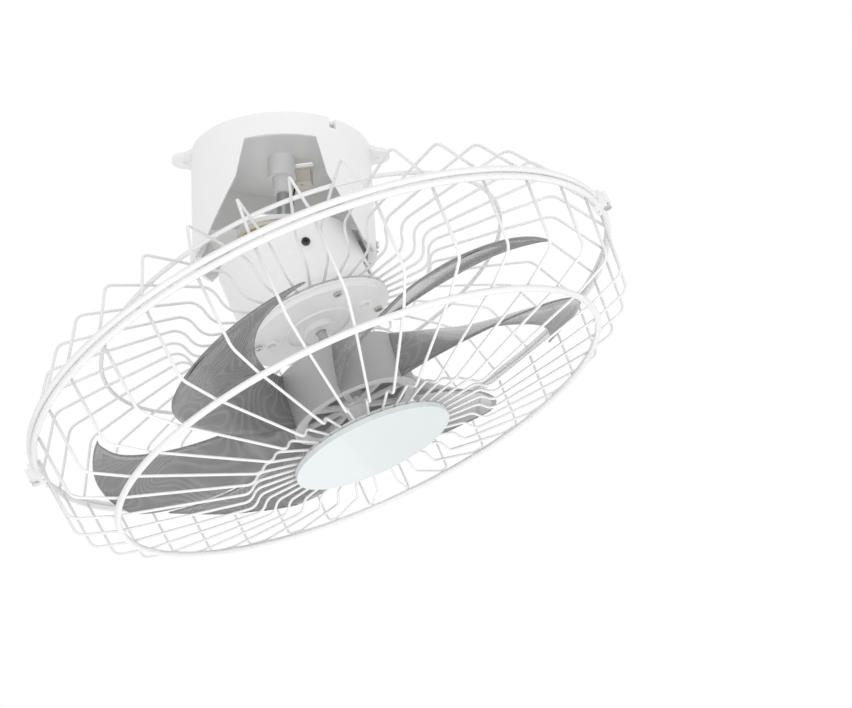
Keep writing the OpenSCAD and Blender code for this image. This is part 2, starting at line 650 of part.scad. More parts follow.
module clip_screws() color("silver") in_rim_plane() for (t = clip_turns) rotate(t) translate([rim_r + 4, 0, 0]) {
    translate([0, 0, -5]) cylinder(r = screw_r, h = 13.2);
    translate([0, 0, 8.15]) cylinder(r = 3, h = 1.8);
}

// ---------- propeller ----------
module motor_shaft() color("silver") fan() {
    translate([0, 0, stub_end]) cylinder(r = stub_r, h = 13);
    translate([0, 0, 34]) cylinder(r = motor_r, h = rim_reach + knob_z - 4 - 34);
}
module rotor_core() color("gray") fan(stator_at + 0.5) tube(rotor_r, motor_r, stator_l - 1);
module drive_worm() color("goldenrod") difference() {
    fan(worm_at) worm(worm_m, 1, worm_l);
    fan() cylinder(r = stub_r, h = 60);
}
module shaft_pin() color("silver") in_rim_plane() translate([0, 0, hub_z0 + 6]) rotate([90, 0, 0])
    cylinder(r = 1.25, h = 20, center = true);
module propeller_hub() color("gray") in_rim_plane() difference() {
    union() {
        difference() {
            translate([0, 0, hub_z0]) cylinder(r = hub_r, h = hub_z1 - hub_z0);
            translate([0, 0, hub_z0 + hub_wall]) cylinder(r = hub_r - hub_wall, h = far);
        }
        translate([0, 0, hub_z0]) cylinder(r = 11, h = 34);
        for (t = [0:60:359]) rotate(t) translate([10, -1.2, hub_z0]) cube([hub_r - 11, 2.4, 12]);
    }
    translate([0, 0, hub_z0 - skin]) cylinder(r = motor_r, h = far);
    translate([0, 0, hub_z0 + 6]) rotate([90, 0, 0]) cylinder(r = 1.25, h = 20, center = true);
    for (t = [0:36:359]) rotate(t) translate([30, 0, hub_z0 - skin]) cylinder(r = 4, h = 5);
}
module hub_spider() color("whitesmoke") in_rim_plane() difference() {
    union() {
        translate([0, 0, 43]) tube(hub_r - hub_wall - 0.1, 43.5, 6.5);
        for (t = [0:45:359]) rotate(t) translate([10, -2.5, 43.5]) cube([34.5, 5, 3]);
        translate([0, 0, 42]) cylinder(r = 13, h = 6);
    }
    translate([0, 0, 0]) cylinder(r = motor_r, h = far);
}
module hub_nut() color("whitesmoke") in_rim_plane() difference() {
    translate([0, 0, 48]) cylinder(r = 9, h = knob_z - 48);
    translate([0, 0, 47]) cylinder(r = motor_r, h = knob_z - 4 - 47);
    for (t = [0:30:359]) rotate(t) translate([9.6, 0, 50]) cylinder(r = 1.1, h = 20);
}
function blade_at(u, v) =
    let(k = min(floor(u * 6 + 0.00001), 5), w = u * 6 - k, a = stations[k], b = stations[k + 1],
        s = a + (b - a) * w, shrink = 1 - 0.055 * pow(u, 3) * pow(v, 4),
        t = s[1] + (s[3] - s[1]) * v, z = s[2] + (s[4] - s[2]) * pow(v, 1.6), r = s[0] * blade_tip_r * shrink)
    [r * cos(t), r * sin(t), z];
module blade(nu = 12, nv = 8) {
    m = nv + 1;
    grid = [for (i = [0:nu], j = [0:nv]) blade_at(i / nu, j / nv)];
    function at(i, j) = grid[min(max(i, 0), nu) * m + min(max(j, 0), nv)];
    function normal(i, j) = unit(cross(at(i + 1, j) - at(i - 1, j), at(i, j + 1) - at(i, j - 1)));
    function thick(i, j) = blade_t / 2 * (j == 0 || j == nv ? 0.35 : 1);
    top = [for (i = [0:nu], j = [0:nv]) at(i, j) + normal(i, j) * thick(i, j)];
    low = [for (i = [0:nu], j = [0:nv]) at(i, j) - normal(i, j) * thick(i, j)];
    n = (nu + 1) * m;
    function quad(a, b, c, d) = [[a, b, c], [a, c, d]];
    faces = concat(
        [for (i = [0:nu - 1], j = [0:nv - 1]) each
            quad(i * m + j, i * m + j + 1, (i + 1) * m + j + 1, (i + 1) * m + j)],
        [for (i = [0:nu - 1], j = [0:nv - 1]) each
            quad(n + i * m + j, n + (i + 1) * m + j, n + (i + 1) * m + j + 1, n + i * m + j + 1)],
        [for (i = [0:nu - 1]) each quad(i * m, (i + 1) * m, n + (i + 1) * m, n + i * m)],
        [for (i = [0:nu - 1]) each quad(i * m + nv, n + i * m + nv, n + (i + 1) * m + nv, (i + 1) * m + nv)],
        [for (j = [0:nv - 1]) each quad(j, n + j, n + j + 1, j + 1)],
        [for (j = [0:nv - 1]) each
            quad(nu * m + j, nu * m + j + 1, n + nu * m + j + 1, n + nu * m + j)]);
    polyhedron(concat(top, low), faces);
}
module propeller_blades() color([0.35, 0.33, 0.33]) in_rim_plane()
    for (i = [0:blade_n - 1]) rotate(i * 360 / blade_n) blade();

// ---------- orbit gear train ----------
module cross_shaft() color("silver") translate([wheel_x, cross_y0, wheel_z]) rotate([-90, 0, 0])
    cylinder(r = cross_r, h = cross_y1 - cross_y0);
module first_wheel() color("ivory") translate([wheel_x, 0, wheel_z]) rotate([90, 0, 0]) difference() {
    union() {
        translate([0, 0, -2.5]) linear_extrude(5) rotate(wheel_phase)
            wheel_profile(worm_m, first_wheel_teeth);
        translate([0, 0, -6]) cylinder(r = 4.5, h = 12);
    }
    translate([0, 0, -7]) cylinder(r = cross_r, h = 14);
}
module second_worm() color("goldenrod") difference() {
    translate([wheel_x, pinion_y, wheel_z]) rotate([-90, 0, 0]) worm(worm_m, 2, 8);
    translate([wheel_x, 0, wheel_z]) rotate([-90, 0, 0]) cylinder(r = cross_r, h = 60);
}
module clutch_wheel() color("ivory") translate([pinion_x, pinion_y, wheel_z]) difference() {
    translate([0, 0, -2.5]) linear_extrude(5) rotate(clutch_phase) wheel_profile(worm_m, clutch_wheel_teeth);
    translate([0, 0, -3]) cylinder(r = pin_low_r + run_fit, h = 6);
}
module pinion_shaft() color("silver") translate([pinion_x, pinion_y, 0]) {
    translate([0, 0, -pin_low]) cylinder(r = pin_low_r, h = pin_low + wheel_z + 3.5);
    translate([0, 0, wheel_z + 3.5]) cylinder(r = pin_r, h = -wheel_z - 3.5 - gear_top + 1);
}
module orbit_pinion() color("ivory") translate([pinion_x, pinion_y, 0]) difference() {
    translate([0, 0, -gear_top - gear_h - 1]) linear_extrude(gear_h + 2)
        rotate(fixed_phase + 180 + 180 / pinion_teeth) polygon(gear_points(gear_m, pinion_teeth));
    translate([0, 0, -gear_top - gear_h - 2]) cylinder(r = pin_r, h = 20);
}
module clutch_plate() color("silver") translate([pinion_x, pinion_y, wheel_z + 2.8]) tube(6, pin_low_r, 2);
module clutch_spring() color("silver") translate([pinion_x, pinion_y, wheel_z + 4.8])
    for (i = [0:3]) translate([0, 0, 0.8 + 1.6 * i]) torus(4.2, 1.6);
module spring_seat() color("silver") translate([pinion_x, pinion_y, wheel_z + 11.2]) tube(6, pin_r, 2);

ceiling_bracket();
bridge();
bridge_screws();
spindle();
spindle_lock_nut();
spindle_washer();
spindle_nut();
fixed_gear();
contact_disc();
contact_rings();
contact_leads();
terminal_block();
motor_housing();
head_bush();
brush_holder();
brushes();
side_screws();
gear_frame();
gear_frame_screws();
capacitor();
head_leads();
rear_shield();
front_shield();
shield_screws();
motor_bushes();
stator_core();
stator_windings();
guard_plate();
rear_guard_wires();
rear_guard_rings();
front_guard_wires();
front_guard_rings();
badge_plate();
badge();
rim_clips();
clip_screws();
motor_shaft();
rotor_core();
drive_worm();
shaft_pin();
propeller_hub();
hub_spider();
propeller_blades();
hub_nut();
cross_shaft();
first_wheel();
second_worm();
clutch_wheel();
pinion_shaft();
orbit_pinion();
clutch_plate();
clutch_spring();
spring_seat();
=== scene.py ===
import json
import math
import bpy
from mathutils import Matrix, Vector


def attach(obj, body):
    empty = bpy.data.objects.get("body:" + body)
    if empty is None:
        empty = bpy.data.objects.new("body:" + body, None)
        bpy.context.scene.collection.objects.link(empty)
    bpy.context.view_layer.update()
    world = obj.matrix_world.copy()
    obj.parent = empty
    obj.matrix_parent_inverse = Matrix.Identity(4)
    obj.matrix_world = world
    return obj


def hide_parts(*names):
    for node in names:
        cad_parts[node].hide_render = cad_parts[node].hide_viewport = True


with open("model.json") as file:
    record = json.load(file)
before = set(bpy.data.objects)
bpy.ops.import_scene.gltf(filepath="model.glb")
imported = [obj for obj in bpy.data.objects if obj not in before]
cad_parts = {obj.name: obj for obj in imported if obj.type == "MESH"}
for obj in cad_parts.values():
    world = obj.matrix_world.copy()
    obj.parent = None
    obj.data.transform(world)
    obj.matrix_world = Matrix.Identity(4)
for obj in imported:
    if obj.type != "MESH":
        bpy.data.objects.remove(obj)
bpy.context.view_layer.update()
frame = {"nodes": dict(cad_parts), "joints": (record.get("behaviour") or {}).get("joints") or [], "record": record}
nodes = frame["nodes"]
record = frame["record"]
joints = {j["name"]: j for j in frame["joints"]}
mm = 0.001
print("frame loaded:", len(nodes), "nodes")

# the fan's own frame: angle 0 leans up the slope, angle 90 points to the camera, height runs to the outlet
rimHeight = 106  # from the propeller joint's point to the plane of the rims, in mm
fanAxis = Vector(joints["rotor_spin"]["axis"]).normalized()
upSlope = Vector((-fanAxis.z, 0, fanAxis.x))
nearSide = Vector((0, -1, 0))
pivot = Vector(joints["rotor_spin"]["pos_m"])
rimCentre = pivot + fanAxis * rimHeight * mm


def fanPoint(radius, angle, height):
    t = math.radians(angle)
    return rimCentre + (upSlope * math.cos(t) + nearSide * math.sin(t)) * radius * mm + fanAxis * height * mm


class Sock:  # a node's output that takes part in sums
    def __init__(self, net, socket):
        self.net, self.socket = net, socket

    def maths(self, operation, *values, flip=False):
        ends = [self] + list(values)
        if flip:
            ends.reverse()
        return self.net.node("ShaderNodeMath", {"operation": operation}, dict(enumerate(ends)))

    def __add__(self, other): return self.maths("ADD", other)
    def __radd__(self, other): return self.maths("ADD", other, flip=True)
    def __sub__(self, other): return self.maths("SUBTRACT", other)
    def __rsub__(self, other): return self.maths("SUBTRACT", other, flip=True)
    def __mul__(self, other): return self.maths("MULTIPLY", other)
    def __rmul__(self, other): return self.maths("MULTIPLY", other, flip=True)
    def __pow__(self, other): return self.maths("POWER", other)
    def __rpow__(self, other): return self.maths("POWER", other, flip=True)
    def __gt__(self, other): return self.maths("GREATER_THAN", other)
    def __lt__(self, other): return self.maths("LESS_THAN", other)  # what a plain number > mask becomes
    def fract(self): return self.maths("FRACT")
    def abs(self): return self.maths("ABSOLUTE")


class Net:  # the nodes of one material or of the world
    def __init__(self, tree):
        self.tree = tree

    def node(self, kind, settings=None, inputs=None, out=0):
        made = self.tree.nodes.new(kind)
        for key, value in (settings or {}).items():
            setattr(made, key, value)
        for key, value in (inputs or {}).items():
            self.feed(made.inputs[key], value)
        return Sock(self, made.outputs[out]) if made.outputs else made

    def feed(self, socket, value):
        if isinstance(value, Sock):
            self.tree.links.new(value.socket, socket)
        else:
            socket.default_value = value


class Finish(Net):  # one procedural material
    def __init__(self, name):
        self.material = bpy.data.materials.new(name)
        self.material.use_nodes = True
        super().__init__(self.material.node_tree)
        self.shader = self.tree.nodes["Principled BSDF"]

    def set(self, **inputs):
        for key, value in inputs.items():
            self.feed(self.shader.inputs[key.replace("_", " ")], value)

    def place(self):  # object coordinates, in metres
        return self.node("ShaderNodeTexCoord", out="Object")

    def stretched(self, scale):
        return self.node("ShaderNodeMapping", {}, {"Vector": self.place(), "Scale": scale})

    def noise(self, scale, detail=3, rough=0.55, vector=None, distortion=0.0):
        return self.node("ShaderNodeTexNoise", {}, {"Vector": vector or self.place(), "Scale": scale,
                                                    "Detail": detail, "Roughness": rough,
                                                    "Distortion": distortion})

    def mix(self, factor, first, second):
        ends = [value if isinstance(value, Sock) else (*value, 1) for value in (first, second)]
        return self.node("ShaderNodeMix", {"data_type": "RGBA"}, {0: factor, 6: ends[0], 7: ends[1]}, out=2)

    def toned(self, factor, colour, dark, light):  # one colour, from a darker to a lighter shade of it
        return self.mix(factor, shade(colour, dark), shade(colour, light))

    def vector(self, operation, *ends, out=0):
        return self.node("ShaderNodeVectorMath", {"operation": operation}, dict(enumerate(ends)), out)

    def bump(self, height, strength, distance):
        return self.node("ShaderNodeBump", {}, {"Height": height, "Strength": strength, "Distance": distance})


def shade(colour, factor):
    return tuple(max(0.0, min(1.0, c * factor)) for c in colour)


mouldings = {
    "white_moulding": {"colour": (0.90, 0.90, 0.898), "rough": 0.42, "grain": 1400},
    "pale_moulding": {"colour": (0.86, 0.86, 0.858), "rough": 0.40, "grain": 1500},
    "black_moulding": {"colour": (0.025, 0.025, 0.026), "rough": 0.45, "grain": 1200},
    "gear_nylon": {"colour": (0.74, 0.71, 0.62), "rough": 0.38, "grain": 1800},
    "board": {"colour": (0.78, 0.72, 0.60), "rough": 0.46, "grain": 900},
    "carbon": {"colour": (0.03, 0.03, 0.032), "rough": 0.6, "grain": 2500},
    "lead_sleeve": {"colour": (0.05, 0.05, 0.055), "rough": 0.55, "grain": 700},
}
plastic = {"drift": 9, "dark": 0.955, "light": 1.03, "dust": 60, "dustFrom": 0.62, "dustShare": 0.12,
           "dusty": 0.86, "bump": 0.16, "depth": 0.0004, "ior": 1.49, "roughDrift": 0.10, "roughDust": 0.08,
           "roughBelow": 0.08}


def makeMoulding(name):  # satin plastic: slow tone drift, fine spark-eroded grain, a little handling sheen
    look = mouldings[name]
    f = Finish(name)
    drift = f.noise(plastic["drift"], 4)
    dust = f.noise(plastic["dust"], 6, 0.7)
    tone = f.toned(drift, look["colour"], plastic["dark"], plastic["light"])
    dusted = (dust > plastic["dustFrom"]) * plastic["dustShare"]
    f.set(Base_Color=f.mix(dusted, tone, shade(look["colour"], plastic["dusty"])),
          Roughness=drift * plastic["roughDrift"] + dust * plastic["roughDust"]
          + (look["rough"] - plastic["roughBelow"]),
          Normal=f.bump(f.noise(look["grain"], 2) + drift * 0.5, plastic["bump"], plastic["depth"]),
          IOR=plastic["ior"])
    return f.material


coats = {
    "wire_coat": {"colour": (0.84, 0.84, 0.838), "rough": 0.34, "peel": 700},
    "dark_screw": {"colour": (0.02, 0.02, 0.021), "rough": 0.36, "peel": 1500},
    "lamination": {"colour": (0.055, 0.055, 0.06), "rough": 0.5, "peel": 2200},
    "winding": {"colour": (0.30, 0.09, 0.03), "rough": 0.3, "peel": 1100},
}
coating = {"drift": 14, "dark": 0.94, "light": 1.04, "bump": 0.22, "depth": 0.0003, "gloss": 0.25,
           "glossRough": 0.18, "roughDrift": 0.12, "roughBelow": 0.06}


def makeCoat(name):  # powder coat or varnish: orange peel under a clear gloss
    look = coats[name]
    f = Finish(name)
    drift = f.noise(coating["drift"], 3)
    peel = f.noise(look["peel"], 2, 0.4)
    f.set(Base_Color=f.toned(drift, look["colour"], coating["dark"], coating["light"]),
          Roughness=drift * coating["roughDrift"] + (look["rough"] - coating["roughBelow"]),
          Normal=f.bump(peel, coating["bump"], coating["depth"]),
          Coat_Weight=coating["gloss"], Coat_Roughness=coating["glossRough"])
    return f.material


metals = {
    "steel": {"colour": (0.60, 0.61, 0.62), "rough": 0.30, "turned": 1600},
    "zinc_screw": {"colour": (0.66, 0.66, 0.63), "rough": 0.24, "turned": 2400},
    "bronze": {"colour": (0.50, 0.33, 0.17), "rough": 0.42, "turned": 1400},
    "brass": {"colour": (0.72, 0.52, 0.22), "rough": 0.28, "turned": 2000},
}
turning = {"stretch": (0.12, 0.12, 1), "stain": 110, "dark": 0.82, "light": 1.08, "bump": 0.25,
           "depth": 0.0002, "roughRings": 0.16, "roughStain": 0.10, "roughBelow": 0.12}


def makeMetal(name):  # turned metal: fine tool rings and faint stains
    look = metals[name]
    f = Finish(name)
    rings = f.noise(look["turned"], 1, 0.4, f.stretched(turning["stretch"]))
    stain = f.noise(turning["stain"], 5, 0.65)
    f.set(Base_Color=f.toned(stain, look["colour"], turning["dark"], turning["light"]),
          Roughness=rings * turning["roughRings"] + stain * turning["roughStain"]
          + (look["rough"] - turning["roughBelow"]),
          Normal=f.bump(rings, turning["bump"], turning["depth"]), Metallic=1)
    return f.material


bladeLook = {"deep": (0.13, 0.13, 0.131), "mid": (0.23, 0.23, 0.231), "line": (0.32, 0.32, 0.321),
             "figure": 12, "warp": 0.6, "lines": 30, "slow": 7, "pores": 240, "poreFrom": 0.60,
             "poreShare": 0.12, "ripple": 420, "bump": 0.07, "depth": 0.0004, "rough": 0.26,
             "roughSlow": 0.10, "roughLine": 0.05, "roughBelow": 0.06, "gloss": 0.55, "glossRough": 0.08}


def makeBlade():  # smoked gloss plastic with growth-ring lines, as a printed wood figure
    f = Finish("smoked_blade")
    field = f.noise(bladeLook["figure"], 1.2, 0.4, distortion=bladeLook["warp"])
    slow = f.noise(bladeLook["slow"], 2)
    line = (((field * bladeLook["lines"]).fract() - 0.5).abs() * 2) ** 2
    body = f.mix(slow, bladeLook["deep"], bladeLook["mid"])
    grained = f.mix(line * (slow * 0.5 + 0.15), body, bladeLook["line"])
    pores = f.noise(bladeLook["pores"], 3, 0.6, f.stretched((1, 0.25, 1)))
    pored = (pores > bladeLook["poreFrom"]) * bladeLook["poreShare"]
    f.set(Base_Color=f.mix(pored, grained, bladeLook["deep"]),
          Roughness=slow * bladeLook["roughSlow"] + line * bladeLook["roughLine"]
          + (bladeLook["rough"] - bladeLook["roughBelow"]),
          Normal=f.bump(line * 0.6 + f.noise(bladeLook["ripple"], 2) * 0.4, bladeLook["bump"],
                        bladeLook["depth"]),
          Coat_Weight=bladeLook["gloss"], Coat_Roughness=bladeLook["glossRough"])
    return f.material


# inside: a paler colour painted into the barrel's hollow, painted light that lifts the shade there; reach: how far
# from the axis the paler inside goes, just short of the barrel's outer face, in mm
hubLook = {"colour": (0.40, 0.40, 0.403), "inside": (0.86, 0.86, 0.858), "insideLight": 1.02, "reach": 53.4,
           "rough": 0.34, "roughDrift": 0.12, "roughBelow": 0.04, "grain": 1300}


def makeHub():  # grey barrel, with painted light inside: a paler colour that lifts the shade in the barrel's hollow
    f = Finish("grey_moulding")
    home = nodes["propeller_hub"].matrix_world.inverted()
    offset = f.vector("SUBTRACT", f.place(), home @ pivot)
    along = f.vector("DOT_PRODUCT", offset, home.to_3x3() @ fanAxis, out="Value")
    length = f.vector("LENGTH", offset, out="Value")
    outside = (length * length - along * along) ** 0.5 > hubLook["reach"] * mm
    drift = f.noise(plastic["drift"], 4)
    barrel = f.toned(drift, hubLook["colour"], plastic["dark"], plastic["light"])
    # the inside's colour, much paler than the barrel: painted light standing in for the light that doesn't reach
    # into the hollow
    paintedLightCore = f.toned(drift, hubLook["inside"], plastic["dark"], hubLook["insideLight"])
    f.set(Base_Color=f.mix(outside, paintedLightCore, barrel),
          Roughness=drift * hubLook["roughDrift"] + (hubLook["rough"] - hubLook["roughBelow"]),
          Normal=f.bump(f.noise(hubLook["grain"], 2) + drift * 0.5, plastic["bump"], plastic["depth"]),
          IOR=plastic["ior"])
    return f.material


badgeLook = {"face": (0.70, 0.745, 0.755), "drift": 16, "dark": 0.97, "light": 1.02, "rough": 0.30,
             "roughDrift": 0.08, "grain": 900, "bump": 0.08, "depth": 0.0003, "gloss": 0.2}


def makeBadge():  # plain pale face, slightly cool, satin
    f = Finish("badge_face")
    drift = f.noise(badgeLook["drift"], 3)
    f.set(Base_Color=f.toned(drift, badgeLook["face"], badgeLook["dark"], badgeLook["light"]),
          Roughness=drift * badgeLook["roughDrift"] + badgeLook["rough"],
          Normal=f.bump(f.noise(badgeLook["grain"], 2), badgeLook["bump"], badgeLook["depth"]),
          Coat_Weight=badgeLook["gloss"])
    return f.material


finishes = {name: makeMoulding(name) for name in mouldings}
finishes.update({name: makeCoat(name) for name in coats})
finishes.update({name: makeMetal(name) for name in metals})
finishes["smoked_blade"] = makeBlade()
finishes["badge_face"] = makeBadge()
finishes["grey_moulding"] = makeHub()
print("finishes made:", len(finishes))


def meshPiece(name, shape, slot, body, replaced):  # a smooth mesh that stands for one CAD node
    mesh = bpy.data.meshes.new(name)
    mesh.from_pydata([tuple(p) for p in shape.points], [], shape.faces)
    mesh.validate()
    mesh.update()
    piece = bpy.data.objects.new(name, mesh)
    bpy.context.scene.collection.objects.link(piece)
    piece.data.materials.append(finishes[slot])
    for polygon in mesh.polygons:
        polygon.use_smooth = True
    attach(piece, body)
    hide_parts(replaced)


def spline(a, b, c, d, w):  # Catmull-Rom from b to c, for numbers and for vectors
    return 0.5 * (2 * b + (c - a) * w + (2 * a - 5 * b + 4 * c - d) * w * w
                  + (3 * b - a - 3 * c + d) * w ** 3)


class Shape:  # points and faces that several parts of one piece add to
    def __init__(self):
        self.points, self.faces = [], []

    def add(self, points, faces):
        base = len(self.points)
        self.points += points
        self.faces += [tuple(base + i for i in face) for face in faces]

    def sweep(self, path, radius, sides=10, side=None):  # a tube along a path
        points, faces = [], []
        last = len(path) - 1
        across = side or (path[1] - path[0]).orthogonal()
        for i, p in enumerate(path):
            back = (p - path[i - 1]).normalized() if i else (path[1] - p).normalized()
            ahead = (path[i + 1] - p).normalized() if i < last else back
            along = (back + ahead).normalized()
            across = (across - along * across.dot(along)).normalized()
            up = across.cross(along).normalized()
            stretch = 1 / max(0.4, along.dot(ahead))  # keeps the tube's width round a bend
            for k in range(sides):
                t = 2 * math.pi * k / sides
                points.append(p + across * radius * math.cos(t) + up * radius * math.sin(t) * stretch)
        for i in range(last):
            for k in range(sides):
                a, b = i * sides + k, i * sides + (k + 1) % sides
                faces.append((a, b, b + sides, a + sides))
        faces.append(tuple(range(sides - 1, -1, -1)))
        faces.append(tuple(last * sides + k for k in range(sides)))
        self.add(points, faces)

    def ring(self, radius, height, rod, around=180, sides=12):  # a closed rod round the fan's axis
        points, faces = [], []
        for i in range(around):
            angle = 360 * i / around
            for k in range(sides):
                t = 2 * math.pi * k / sides
                points.append(fanPoint(radius + rod / 2 * math.cos(t), angle, height + rod / 2 * math.sin(t)))
        for i in range(around):
            for k in range(sides):
                a, b = i * sides + k, i * sides + (k + 1) % sides
                c, d = (i + 1) % around * sides + (k + 1) % sides, (i + 1) % around * sides + k
                faces.append((a, b, c, d))
        self.add(points, faces)

    def blob(self, centre, size, steps=8):  # a weld bead
        points, faces = [], []
        for i in range(1, steps // 2):
            lat = math.pi * i / (steps // 2)
            for k in range(steps):
                t = 2 * math.pi * k / steps
                points.append(centre + Vector((math.sin(lat) * math.cos(t), math.sin(lat) * math.sin(t),
                                               math.cos(lat))) * size)
        rings = steps // 2 - 1
        for i in range(rings - 1):
            for k in range(steps):
                a, b = i * steps + k, i * steps + (k + 1) % steps
                faces.append((a, a + steps, b + steps, b))
        points += [centre + Vector((0, 0, size)), centre - Vector((0, 0, size))]
        top, low = len(points) - 2, len(points) - 1
        for k in range(steps):
            faces.append((top, k, (k + 1) % steps))
            faces.append((low, (rings - 1) * steps + (k + 1) % steps, (rings - 1) * steps + k))
        self.add(points, faces)


def rounded(path, radius, steps=5):  # the corners of a flat path as arcs
    made = [Vector(path[0])]
    for a, b, c in zip(path, path[1:], path[2:]):
        a, b, c = Vector(a), Vector(b), Vector(c)
        u, w = (a - b).normalized(), (c - b).normalized()
        half = math.acos(max(-1, min(1, u.dot(w)))) / 2
        reach = radius / math.tan(half)
        centre = b + (u + w).normalized() * radius / math.sin(half)
        start, end = b + u * reach - centre, b + w * reach - centre
        swept = start.angle(end)
        for i in range(steps + 1):
            k = i / steps
            made.append(centre + (start * math.sin((1 - k) * swept)
                                  + end * math.sin(k * swept)) / math.sin(swept))
    made.append(Vector(path[-1]))
    return made


# in mm: a path's points are radius and height, and a ring's numbers are radius, height and rod
guard = {"wires": 36, "wire": 2.2, "weld": 1.5, "rimInset": 0.5}
rearGuard = {"bend": 12,
             "path": [(248, -1.5), (223, -47), (181, -52), (112, -58), (105, -37.55), (61.6, -37.55)],
             "rings": [(250, -1.5, 5.0), (177, -54.85, 3.5), (63.4, -40.1, 3.5)]}
frontGuard = {"bend": 10,
              "path": [(246.5, 3.8), (238.9, 57), (207, 67), (105, 86), (98, 78), (50, 80.05)],
              "rings": [(248.5, 3.8, 5.0), (206, 70.5, 5.0), (58, 77.25, 3.5)]}


def heightAt(path, radius):  # the wire's height at a radius, and its outer end's past that end
    for (r0, z0), (r1, z1) in zip(path, path[1:]):
        if min(r0, r1) <= radius <= max(r0, r1) and r0 != r1:
            return z0 + (z1 - z0) * (radius - r0) / (r1 - r0)
    return path[0][1]


def makeGuard(name, look, cadWires, cadRings):
    wires, rings = Shape(), Shape()
    profile = rounded(look["path"], look["bend"])
    outerWeld = look["path"][0][0] + guard["rimInset"]
    for i in range(guard["wires"]):
        angle = 360 * i / guard["wires"]
        t = math.radians(angle)
        side = (upSlope * -math.sin(t) + nearSide * math.cos(t)).normalized()
        wires.sweep([fanPoint(p.x, angle, p.y) for p in profile], guard["wire"] / 2 * mm, side=side)
        for radius, height, rod in look["rings"]:
            wireHeight = heightAt(look["path"], radius)
            middle = (height * guard["wire"] + wireHeight * rod) / (guard["wire"] + rod)
            wires.blob(fanPoint(min(radius, outerWeld), angle, middle), guard["weld"] * mm)
    for radius, height, rod in look["rings"]:
        rings.ring(radius, height, rod)
    meshPiece(name + "Wires", wires, "wire_coat", "head", cadWires)
    meshPiece(name + "Rings", rings, "wire_coat", "head", cadRings)


makeGuard("rearGuard", rearGuard, "rear_guard_wires", "rear_guard_rings")
makeGuard("frontGuard", frontGuard, "front_guard_wires", "front_guard_rings")
print("guards made")

# stations: share of the tip radius, leading angle and height, trailing angle and height
blade = {"count": 6, "tip": 212, "thick": 2.4, "edges": (0.35, 0.8), "tipDraw": 0.055, "cup": 1.6,
         "lip": 6.0, "lipRise": 0.7, "crease": 7.6, "creaseDepth": 0.3, "creaseWidth": 1.1,
         "stations": [(0.245, 140, 8, 152, 50), (0.354, 124, 14, 147, 50), (0.519, 113, 22, 141, 50),
                      (0.708, 105, 25, 134, 49), (0.873, 97, 26, 127, 47), (0.967, 89, 26, 121, 45),
                      (1, 85, 26, 117, 43)],
         "along": (30, 0.8, 1, 18), "across": (14, 0, 0.16, 16)}


def smoothStation(u):  # a blade's section between the stations
    rows = blade["stations"]
    last = len(rows) - 1
    i = min(int(u * last), last - 1)
    w = u * last - i
    p0, p1, p2, p3 = rows[max(i - 1, 0)], rows[i], rows[i + 1], rows[min(i + 2, last)]
    return [spline(a, b, c, d, w) for a, b, c, d in zip(p0, p1, p2, p3)]


def bladePoint(u, v, turn):  # u from the root to the tip, v from the leading edge to the trailing edge
    share, lead, leadZ, trail, trailZ = smoothStation(u)
    shrink = 1 - blade["tipDraw"] * u ** 3 * v ** 4
    return fanPoint(share * blade["tip"] * shrink, lead + (trail - lead) * v + turn,
                    leadZ + (trailZ - leadZ) * v ** blade["cup"])


def lipOffset(u, v):  # the turned lip along the leading edge and the tip, with a crease inside it
    share, lead, leadZ, trail, trailZ = smoothStation(u)
    radius = share * blade["tip"]
    chord = math.hypot(radius * math.radians(trail - lead), trailZ - leadZ)
    depth = min(v * chord, blade["tip"] - radius)
    turned = max(0, 1 - depth / blade["lip"])
    creased = math.exp(-((depth - blade["crease"]) / blade["creaseWidth"]) ** 2)
    return blade["lipRise"] * turned ** 2 - blade["creaseDepth"] * creased


def crowded(count, low, high, steps):  # even steps, made finer from low to high
    stops = [i / count for i in range(count + 1) if not low < i / count < high]
    stops += [low + (high - low) * k / steps for k in range(steps + 1)]
    return sorted(set(round(s, 5) for s in stops))


def bladeFaces(nu, nv):  # the two skins and the four edges of one blade
    faces, row, count = [], nv + 1, (nu + 1) * (nv + 1)
    for i in range(nu):
        for j in range(nv):
            a = i * row + j
            faces.append((a, a + row, a + row + 1, a + 1))
            faces.append((count + a, count + a + 1, count + a + row + 1, count + a + row))
    edges = [(i * row + j, (i + 1) * row + j, flip) for i in range(nu) for j, flip in ((0, False), (nv, True))]
    edges += [(i * row + j, i * row + j + 1, flip) for j in range(nv) for i, flip in ((0, True), (nu, False))]
    for a, b, flip in edges:
        face = (a, count + a, count + b, b)
        faces.append(face[::-1] if flip else face)
    return faces


def makeBlades():
    shape = Shape()
    along, across = crowded(*blade["along"]), crowded(*blade["across"])
    nu, nv = len(along) - 1, len(across) - 1
    for n in range(blade["count"]):
        turn = 360 * n / blade["count"]
        grid = [[bladePoint(u, v, turn) for v in across] for u in along]
        lifted, normals = [], []
        for i, u in enumerate(along):
            for j, v in enumerate(across):
                du = grid[min(i + 1, nu)][j] - grid[max(i - 1, 0)][j]
                dv = grid[i][min(j + 1, nv)] - grid[i][max(j - 1, 0)]
                normals.append(du.cross(dv).normalized())
                lifted.append(grid[i][j] + normals[-1] * lipOffset(u, v) * mm)
        points = []
        for sign in (1, -1):
            for k, (point, normal) in enumerate(zip(lifted, normals)):
                i, j = divmod(k, nv + 1)
                rim = min(j, nv - j, nu - i)  # rows in from the nearest free edge
                half = blade["thick"] / 2 * mm * (blade["edges"][rim] if rim < 2 else 1)
                points.append(point + normal * half * sign)
        shape.add(points, bladeFaces(nu, nv))
    meshPiece("blades", shape, "smoked_blade", "rotor", "propeller_blades")


makeBlades()
print("blades made")

